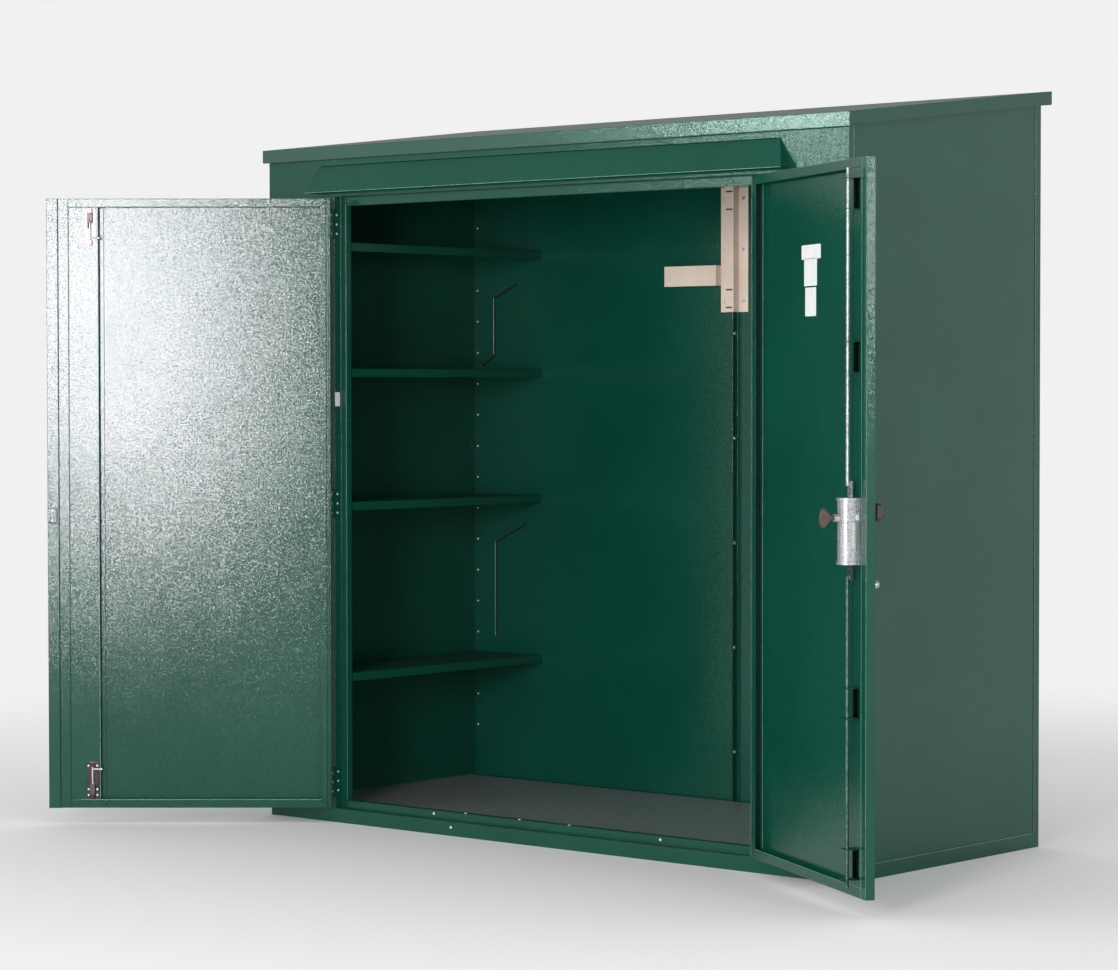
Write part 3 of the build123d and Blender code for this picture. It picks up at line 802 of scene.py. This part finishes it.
def tower_bolt_details():
    """The screws of both tower bolts, and the rails on their plates with a cover over the rod."""
    face = DOOR_INNER_FACE + BOLT_PLATE
    for name, share, flip in (("top_bolt_plate", 1, -1), ("bottom_bolt_plate", 0, 1)):
        start = corner(name, 0, 0, share).z
        places = []
        for step in BOLT_SCREW_STEPS:
            for side in (-BOLT_SCREW_SIDE, BOLT_SCREW_SIDE):
                places.append(facing((BOLT_LINE + side, face, start + flip * step), INWARD))
        heads = repeated(screw(*BOLT_SCREW), places)
        settle(heads, name + "_screws", "left_door", zinc, left_door)
        rails = []
        for side, end in RAIL_ENDS:
            height = start + flip * (RAIL_START + end) / 2
            middle = (BOLT_LINE + side * RAIL_SIDE, face + RAIL_HEIGHT / 2, height)
            size = (RAIL_WIDTH, RAIL_HEIGHT, end - RAIL_START)
            rails.append(softened_bar(middle, size, RAIL_EDGE))
        height = start + flip * (RAIL_START + COVER_END) / 2
        middle = (BOLT_LINE, face + COVER_LIFT, height)
        rails.append(softened_bar(middle, COVER_SIZE, FINE_EDGE))
        black = FINISHES["black_metal"]
        settle(gathered(rails), name + "_rails", "left_door", black, left_door)


def slot_plate_screws():
    distance, height = SLOT_PLATE_PLACE
    face = DOOR_INNER_FACE + COVER_STRIP_STEP + SHEET + SLOT_PLATE
    places = []
    for step in (-SLOT_SCREW_STEP, SLOT_SCREW_STEP):
        places.append(facing((distance, face, height + step), INWARD))
    heads = repeated(screw(*SLOT_SCREW), places)
    settle(heads, "slot_plate_screws", "left_door", zinc, left_door)


def rod_bolts():
    """The small bolts that hold the lock rods to their flat connectors."""
    face = DOOR_INNER_FACE + CONNECTOR_LIFT
    for name, height in ROD_BOLTS:
        head = repeated(bolt_head(*ROD_BOLT), [facing((-LOCK_LINE, face, height), INWARD)])
        settle(head, name + "_bolt", name, FINISHES["bright_steel"], right_door)


def lock_cylinder_cap():
    """The domed swing cover over the keyhole, on the outer side of the right door."""
    cap = disc(32, CAP_RADIUS, 0, CAP_DEPTH)
    pick_faces(cap, upper_face)
    bpy.ops.mesh.bevel(offset=CAP_DEPTH * 0.4, segments=4, affect="EDGES")
    bpy.ops.object.mode_set(mode="OBJECT")
    pick_faces(cap, lambda middle, normal: normal.z > 0.99)
    bpy.ops.mesh.inset(thickness=CAP_RADIUS * 0.15)
    bpy.ops.transform.translate(value=(0, 0, -CAP_DISH))
    cap = done()
    height = corner("lock_escutcheon", 0.5, 0.5, 0.5).z
    cap.data.transform(facing((-LOCK_LINE, -ESCUTCHEON_DEPTH, height), FRONT))
    steel = FINISHES["bright_steel"]
    settle(cap, "lock_cylinder_cap", "right_door", steel, right_door)


def lock_case_plate():
    """The smooth plate and small catch on the lock case's side, next to the door's free edge."""
    middle = corner("lock_case", 0.5, 0.5, 0.5).z
    for name, (depth, lift, size), edge, finish in (
        ("lock_case_plate", CASE_PLATE, THIN_EDGE, FINISHES["bright_steel"]),
        ("lock_case_catch", CASE_CATCH, FINE_EDGE, zinc),
    ):
        trim = softened_bar((-CASE_SIDE, depth, middle + lift), size, edge)
        settle(trim, name, "right_door", finish, right_door)


def back_wall_screws():
    """Screws up both inner corners of the back wall, except where a shelf meets it."""
    wall = corner("back_left_panel", 0, 1, 0).y - SHEET
    places = []
    for x in (-CORNER_SCREW_LINE, CORNER_SCREW_LINE):
        for step in range(CORNER_SCREWS):
            height = CORNER_SCREW_START + step * CORNER_SCREW_STEP
            if all(abs(height - shelf) > SHELF_CLEARANCE for shelf in SHELF_HEIGHTS):
                places.append(facing((x, wall, height), FRONT))
    heads = repeated(screw(*CORNER_SCREW), places)
    settle(heads, "back_wall_screws", "shed", zinc)


def seam_bolts():
    """Bolts through the two flanges of the back wall's middle seam."""
    flange = corner("back_left_panel", 0, 1, 0).y - SEAM_BOLT_INSET
    places = []
    for step in range(SEAM_BOLTS):
        for side in (-1, 1):
            height = SEAM_BOLT_START + step * SEAM_BOLT_STEP
            places.append(facing((side * SHEET, flange, height), (side, 0, 0)))
    heads = repeated(bolt_head(*SEAM_BOLT), places)
    settle(heads, "seam_bolts", "shed", FINISHES["bright_steel"])


def swage(points, radius):
    """A half-round line that follows a few points, each with its own place on the back wall."""
    rest_tools()
    bpy.ops.mesh.primitive_circle_add(vertices=12, radius=radius, fill_type="NGON")
    rib = bpy.context.object
    rib.matrix_world = facing(points[0], points[1] - points[0])
    bpy.ops.object.transform_apply(location=True, rotation=True)
    bpy.ops.object.mode_set(mode="EDIT")
    bpy.ops.mesh.select_all(action="SELECT")
    for start, end in zip(points, points[1:]):
        bpy.ops.mesh.extrude_region_move(TRANSFORM_OT_translate={"value": end - start})
    bpy.ops.mesh.select_all(action="SELECT")
    bpy.ops.mesh.normals_make_consistent(inside=False)
    return done()


def swages(name, radius, shift, finish):
    """The pressed lines near both ends of the back wall, mirrored left and right, all in one finish."""
    wall = corner("back_left_panel", 0, 1, 0).y - SHEET
    ribs = []
    for line in (UPPER_SWAGE, LOWER_SWAGE):
        for side in (1, -1):
            ribs.append(swage([Vector((side * x + shift, wall, z)) for x, z in line], radius))
    settle(gathered(ribs), name, "shed", finish)


def bracket_bolts():
    """Bolts up both flanges of the cream upright: low, middle and high."""
    middle = corner("bracket_upright", 0.5, 0, 0.5)
    low = corner("bracket_upright", 0.5, 0, 0).z + BRACKET_BOLT_INSET
    high = corner("bracket_upright", 0.5, 0, 1).z - BRACKET_BOLT_INSET
    face = corner("back_left_panel", 0, 1, 0).y - SHEET - BRACKET_SHEET
    places = []
    for side in (-BRACKET_BOLT_SIDE, BRACKET_BOLT_SIDE):
        for height in (low, middle.z, high):
            places.append(facing((middle.x + side, face, height), FRONT))
    heads = repeated(bolt_head(*BRACKET_BOLT), places)
    settle(heads, "bracket_bolts", "shed", FINISHES["bright_steel"])


def drain_holes():
    """Two small holes in the left door's bottom lip, shown as shallow recessed cups with painted shade for the
    dark inside each hole.
    """
    cups = []
    for distance in DRAIN_HOLES:
        cup = disc(16, DRAIN_RADIUS, -DRAIN_DEPTH, DRAIN_DEPTH)
        pick_faces(cup, upper_face)
        bpy.ops.mesh.inset(thickness=DRAIN_RIM)
        bpy.ops.transform.translate(value=(0, 0, -DRAIN_DEPTH))
        cup = done()
        cup.data.transform(facing((distance, DOOR_INNER_FACE + DRAIN_DEPTH, DRAIN_HEIGHT), INWARD))
        cups.append(cup)
    settle(gathered(cups), "drain_holes", "left_door", seam_and_shade_dark, left_door)


shed_edge_highlights()
back_wall_seam()
door_lips()
all_hinge_screws()
sill_screws()
door_pad()
stickers()
tower_bolt_details()
slot_plate_screws()
rod_bolts()
lock_cylinder_cap()
lock_case_plate()
back_wall_screws()
seam_bolts()
# Pale ribs: painted highlight on each pressed line's lit edge. Dark copies beside them: painted shade in each
# groove.
swages("back_wall_swages", SWAGE_RADIUS, 0, fold_highlight_green)
swages("back_wall_swage_shades", SWAGE_SHADE_RADIUS, SWAGE_SHADE_SHIFT, seam_and_shade_dark)
bracket_bolts()
drain_holes()


def pale_floor():
    """A pale floor that takes the shadow and fades into the backdrop's tone further out."""
    recipe = Recipe("pale_floor")
    radius = recipe.node("ShaderNodeVectorMath", {0: recipe.place}, operation="LENGTH")
    far = recipe.node(
        "ShaderNodeMapRange",
        {"Value": radius.outputs["Value"], "From Min": FADE_START, "From Max": FADE_END},
        interpolation_type="SMOOTHSTEP",
    )
    near = recipe.node("ShaderNodeBsdfDiffuse", {"Color": PALE_FLOOR})
    glow = recipe.node("ShaderNodeEmission", {"Color": PALE_WALL, "Strength": 1.0})
    shaders = {0: far.outputs["Result"], 1: near.outputs[0], 2: glow.outputs[0]}
    mixed = recipe.node("ShaderNodeMixShader", shaders)
    rest_tools()
    bpy.ops.mesh.primitive_circle_add(vertices=96, radius=FLOOR_RADIUS, fill_type="NGON")
    floor = bpy.context.object
    floor.name = "pale_floor"
    floor.data.materials.append(recipe.shown(mixed))


def pale_sky():
    """A plain pale backdrop all round, which gloss shows too, and a slightly softer fill light."""
    world = bpy.data.worlds.new("pale_sky")
    bpy.context.scene.world = world
    world.use_nodes = True
    tree = world.node_tree
    tree.nodes.clear()
    rays = tree.nodes.new("ShaderNodeLightPath")
    seen = rays.outputs["Is Camera Ray"]
    for kind in ("Is Glossy Ray", "Is Transmission Ray"):
        either = tree.nodes.new("ShaderNodeMath")
        either.operation = "MAXIMUM"
        tree.links.new(seen, either.inputs[0])
        tree.links.new(rays.outputs[kind], either.inputs[1])
        seen = either.outputs["Value"]
    height = tree.nodes.new("ShaderNodeSeparateXYZ")
    tree.links.new(tree.nodes.new("ShaderNodeTexCoord").outputs["Generated"], height.inputs[0])
    overhead = tree.nodes.new("ShaderNodeMapRange")
    overhead.inputs["From Min"].default_value = CEILING_START
    overhead.inputs["From Max"].default_value = CEILING_END
    tree.links.new(height.outputs["Z"], overhead.inputs["Value"])
    room = tree.nodes.new("ShaderNodeMix")
    room.data_type = "RGBA"
    tree.links.new(overhead.outputs["Result"], room.inputs["Factor"])
    room.inputs[6].default_value = PALE_WALL
    room.inputs[7].default_value = DIM_CEILING
    backdrop = tree.nodes.new("ShaderNodeBackground")
    tree.links.new(room.outputs[2], backdrop.inputs["Color"])
    fill = tree.nodes.new("ShaderNodeBackground")
    fill.inputs["Color"].default_value = FILL_LIGHT
    mixed = tree.nodes.new("ShaderNodeMixShader")
    tree.links.new(seen, mixed.inputs[0])
    tree.links.new(fill.outputs[0], mixed.inputs[1])
    tree.links.new(backdrop.outputs[0], mixed.inputs[2])
    output = tree.nodes.new("ShaderNodeOutputWorld")
    tree.links.new(mixed.outputs[0], output.inputs["Surface"])


def place_camera():
    data = bpy.data.cameras.new("shed_view")
    data.lens = FOCAL_PIXELS / PHOTO_WIDTH * data.sensor_width
    data.clip_end = CAMERA_REACH
    camera = bpy.data.objects.new("shed_view", data)
    bpy.context.scene.collection.objects.link(camera)
    camera.location = CAMERA_PLACE
    camera.rotation_euler = (math.pi / 2 + CAMERA_DIP, CAMERA_ROLL, CAMERA_TURN)
    bpy.context.scene.camera = camera


def soft_lamp(name, azimuth, rise, size, radiance, aim, tint):
    """A soft lamp that aims at a place. Azimuth is in degrees, to the right of straight ahead."""
    width, tall = size
    data = bpy.data.lights.new(name, "AREA")
    data.shape = "RECTANGLE"
    data.size = width
    data.size_y = tall
    data.energy = radiance * math.pi * width * tall
    data.color = tint
    lamp = bpy.data.objects.new(name, data)
    bpy.context.scene.collection.objects.link(lamp)
    angle = math.radians(azimuth)
    away = Vector((math.sin(angle) * LAMP_DISTANCE, -math.cos(angle) * LAMP_DISTANCE, rise))
    lamp.location = aim + away
    lamp.rotation_euler = (-away).to_track_quat("-Z", "Y").to_euler()
    lamp.visible_camera = False


pale_floor()
pale_sky()
place_camera()
soft_lamp(
    "door_lamp",
    azimuth=30.3,
    rise=0.78,
    size=(1.57, 2.46),
    radiance=36.0,
    aim=LEFT_DOOR_MIDDLE,
    tint=(1.0, 0.89, 0.96),
)
soft_lamp(
    "front_lamp",
    azimuth=-35.2,
    rise=1.10,
    size=(1.37, 1.15),
    radiance=14.0,
    aim=FASCIA_END,
    tint=(0.76, 1.0, 0.91),
)
soft_lamp(
    "edge_lamp",
    azimuth=77.6,
    rise=0.45,
    size=(0.9, 1.1),
    radiance=26.0,
    aim=FREE_EDGE,
    tint=(0.94, 0.98, 1.0),
)

bpy.context.scene.view_settings.view_transform = "Standard"
